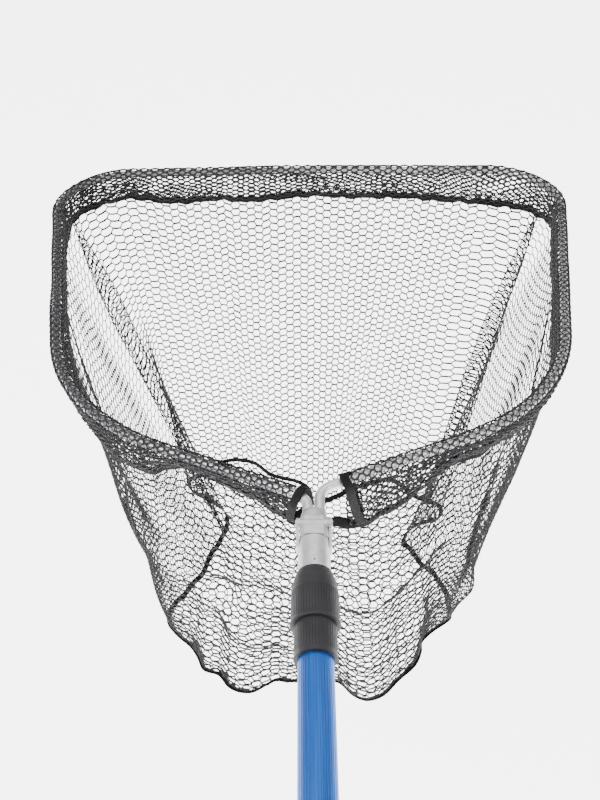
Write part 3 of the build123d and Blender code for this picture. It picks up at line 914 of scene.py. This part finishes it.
def build_end_tapes():
    """Loops of tape that bind the sleeve's two ends round the hoop's arms."""
    left = [(-11, 22, 8.2), (-17, 15, 0), (-20, 16, -15), (-21, 20, -32), (-12, 29, -34), (-3, 36, -30),
            (-4, 34, -14), (-6, 29, 2)]
    right = [(28, 38, 8.2), (33, 30, 0), (37, 31, -20), (42, 35, -42), (47, 39, -61), (47, 44, -60),
             (41, 48, -36), (36, 48, -12), (31, 44, 4)]
    left_line, right_line = soft_line(left, 90, True), soft_line(right, 110, True)
    build_strip("end_tape_left_strip", "end_tape_left", left_line, (-0.93, 0.37, 0), 0.008, True)
    build_strip("end_tape_right_strip", "end_tape_right", right_line, (0.91, 0.41, 0), 0.009, True)


def build_inner_hem():
    """The hem's inner edge stands above the left arm before it drops to the end loop."""
    hem = [(-92, 58, -2), (-84, 59, 4), (-70, 58, 8), (-54, 53, 9), (-40, 41, 8), (-28, 36, 7.5),
           (-16, 33, 7), (-8, 32, 2), (-4, 35, -10), (-3, 36, -26)]
    build_strip("rim_tape_inner_strip", None, soft_line(hem, 80), (0.1, -0.4, 0.91), 0.0064)


# ---------------------------------------------------------------- stage
FLOOR_REACH, FLOOR_Z = 12.0, -0.95
WORLD_STRENGTH = 1.2
# name, place, size, power and the point it aims at; the wash lies between the net and the floor
LIGHTS = [
    ("key", (-1.3, 0.2, 1.6), 1.0, 60, (0, YOKE_Y, 0)),
    ("fill", (1.6, 0.0, 1.2), 1.0, 12, (0, YOKE_Y, 0)),
    ("top", (0, 1.6, 2.0), 2.0, 20, (0, YOKE_Y + 0.3, 0)),
    ("floor_wash", (0, 1, FLOOR_Z + 0.42), 20.0, 5900, (0, 1, FLOOR_Z)),
]
SENSOR_WIDTH, LENS = 36.0, 36.9
CAMERA_PLACE = (-0.012, YOKE_Y - 0.461, 0.566)
CAMERA_TILT = math.radians(47.1)


def build_floor():
    mesh = bpy.data.meshes.new("floor")
    corners = [(x * FLOOR_REACH, y * FLOOR_REACH, FLOOR_Z) for x, y in ((-1, -1), (1, -1), (1, 1), (-1, 1))]
    mesh.from_pydata(corners, [], [(0, 1, 2, 3)])
    floor = bpy.data.objects.new("floor", mesh)
    bpy.context.scene.collection.objects.link(floor)
    m = Nodes("pale_floor")
    m.fixed(Base_Color=(0.93, 0.93, 0.93, 1), Roughness=0.9)
    mesh.materials.append(m.material)


def build_lights():
    world = bpy.data.worlds.new("studio")
    bpy.context.scene.world = world
    world.use_nodes = True
    background = world.node_tree.nodes["Background"]
    background.inputs["Color"].default_value = (1, 1, 1, 1)
    background.inputs["Strength"].default_value = WORLD_STRENGTH
    for name, place, size, power, aim in LIGHTS:
        light = bpy.data.lights.new(name, "AREA")
        light.size, light.energy = size, power
        obj = bpy.data.objects.new(name, light)
        obj.location = place
        obj.rotation_euler = (Vector(aim) - Vector(place)).to_track_quat("-Z", "Y").to_euler()
        bpy.context.scene.collection.objects.link(obj)


def build_camera():
    """Behind and above the yoke, looking forwards and down at the net."""
    data = bpy.data.cameras.new("camera")
    data.sensor_width = SENSOR_WIDTH
    data.lens = LENS
    camera = bpy.data.objects.new("camera", data)
    camera.location = CAMERA_PLACE
    camera.rotation_euler = (CAMERA_TILT, 0, 0)
    bpy.context.scene.collection.objects.link(camera)
    bpy.context.scene.camera = camera


build_camera()
build_floor()
build_lights()
dress_cad()
bag_surface = Bag()
build_walls(bag_surface)
build_base()
build_sleeve()
build_rim_tape()
build_base_tape()
build_end_tapes()
build_inner_hem()
